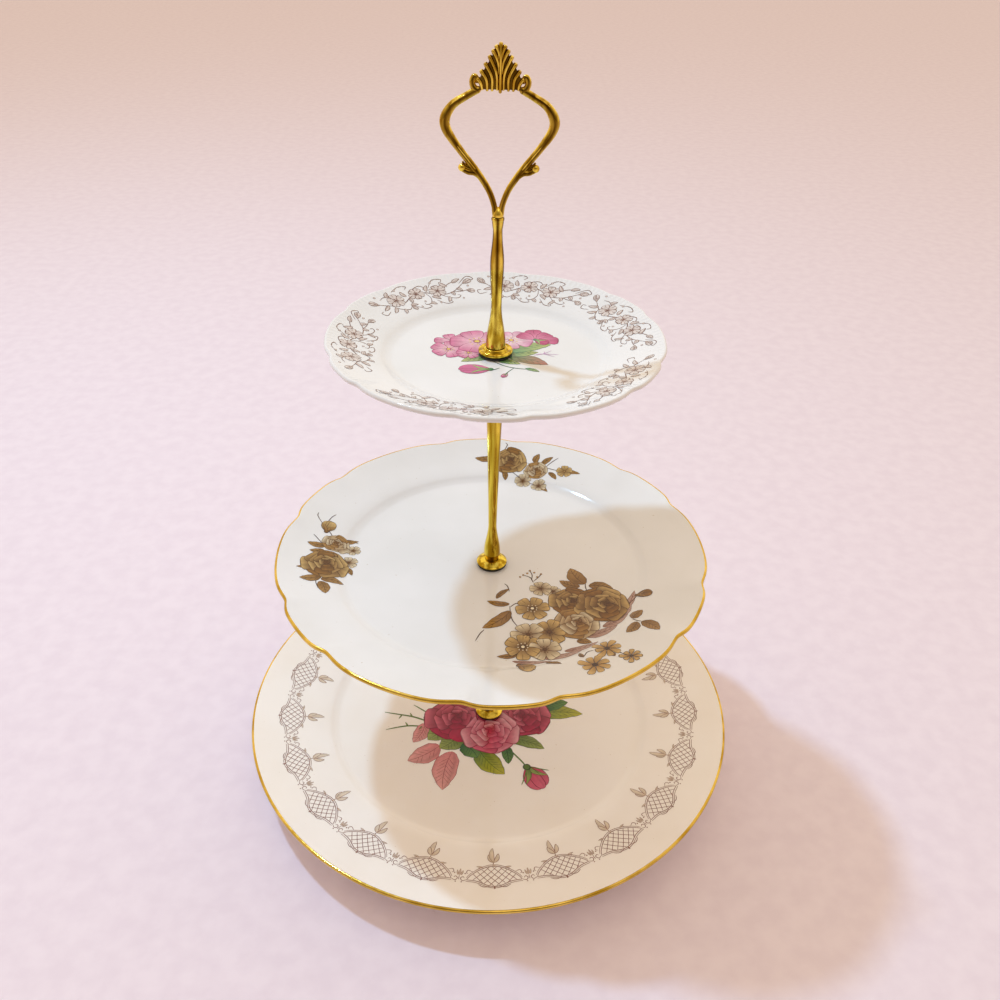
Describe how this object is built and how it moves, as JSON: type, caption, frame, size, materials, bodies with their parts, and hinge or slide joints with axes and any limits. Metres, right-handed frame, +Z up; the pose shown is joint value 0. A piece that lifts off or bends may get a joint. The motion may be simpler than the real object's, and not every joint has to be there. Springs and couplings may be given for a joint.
{
  "type": "tiered cake stand",
  "caption": "Tall stand of round china plates threaded on a gold-coloured centre rod that unscrews at every plate, with a loop handle on top.",
  "frame": {"origin": "on the table, under the middle of the stand", "axes": "+Z up along the centre rod, +Y away from the viewer through the finger loop, +X to the viewer's right along the loop's width"},
  "size_m": [0.265, 0.265, 0.3667],
  "materials": {
    "china": "glossy white glaze with printed flowers",
    "gold": "polished gold-coloured plating",
    "rubber": "matt dark rubber",
    "steel": "plain zinc-plated steel"
  },
  "bodies": {
    "bottom_tier": {"bottom_plate": "china", "bottom_under_disc": "steel", "bottom_under_pad": "rubber", "bottom_upper_pad": "rubber"},
    "screw": {"base_screw": "steel"},
    "lower_rod_flange": {"bottom_gold_washer": "gold"},
    "lower_rod_set": {"lower_rod": "gold", "lower_stud": "steel", "middle_under_disc": "steel", "middle_under_pad": "rubber"},
    "middle_tier": {"middle_plate": "china", "middle_upper_pad": "rubber"},
    "upper_rod_flange": {"middle_gold_washer": "gold"},
    "upper_rod_set": {"upper_rod": "gold", "upper_stud": "steel", "top_under_disc": "steel", "top_under_pad": "rubber"},
    "top_tier": {"top_plate": "china", "top_upper_pad": "rubber"},
    "handle_flange": {"top_gold_washer": "gold"},
    "handle": {"handle_stem": "gold", "handle_loop": "gold"}
  },
  "joints": [
    {"name": "base_screw_turn", "type": "hinge", "parent": "bottom_tier", "child": "screw", "pos_m": [0, 0, 0.0063], "axis": [0, 0, 1], "continuous": true},
    {"name": "lower_rod_turn", "type": "hinge", "parent": "screw", "child": "lower_rod_flange", "pos_m": [0, 0, 0.0156], "axis": [0, 0, 1], "range_deg": [0, 2880]},
    {"name": "lower_rod_rise", "type": "slide", "parent": "lower_rod_flange", "child": "lower_rod_set", "axis": [0, 0, 1], "range_m": [0, 0.0064]},
    {"name": "middle_plate_turn", "type": "hinge", "parent": "lower_rod_set", "child": "middle_tier", "pos_m": [0, 0, 0.1228], "axis": [0, 0, 1], "continuous": true},
    {"name": "upper_rod_turn", "type": "hinge", "parent": "lower_rod_set", "child": "upper_rod_flange", "pos_m": [0, 0, 0.1244], "axis": [0, 0, 1], "range_deg": [0, 2880]},
    {"name": "upper_rod_rise", "type": "slide", "parent": "upper_rod_flange", "child": "upper_rod_set", "axis": [0, 0, 1], "range_m": [0, 0.0064]},
    {"name": "top_plate_turn", "type": "hinge", "parent": "upper_rod_set", "child": "top_tier", "pos_m": [0, 0, 0.2405], "axis": [0, 0, 1], "continuous": true},
    {"name": "handle_turn", "type": "hinge", "parent": "upper_rod_set", "child": "handle_flange", "pos_m": [0, 0, 0.2421], "axis": [0, 0, 1], "range_deg": [0, 2880]},
    {"name": "handle_rise", "type": "slide", "parent": "handle_flange", "child": "handle", "axis": [0, 0, 1], "range_m": [0, 0.0064]}
  ],
  "couplings": [
    {"joint": "lower_rod_turn", "follows": "lower_rod_rise", "rad_per_m": 7853.9},
    {"joint": "upper_rod_turn", "follows": "upper_rod_rise", "rad_per_m": 7853.9},
    {"joint": "handle_turn", "follows": "handle_rise", "rad_per_m": 7853.9}
  ]
}
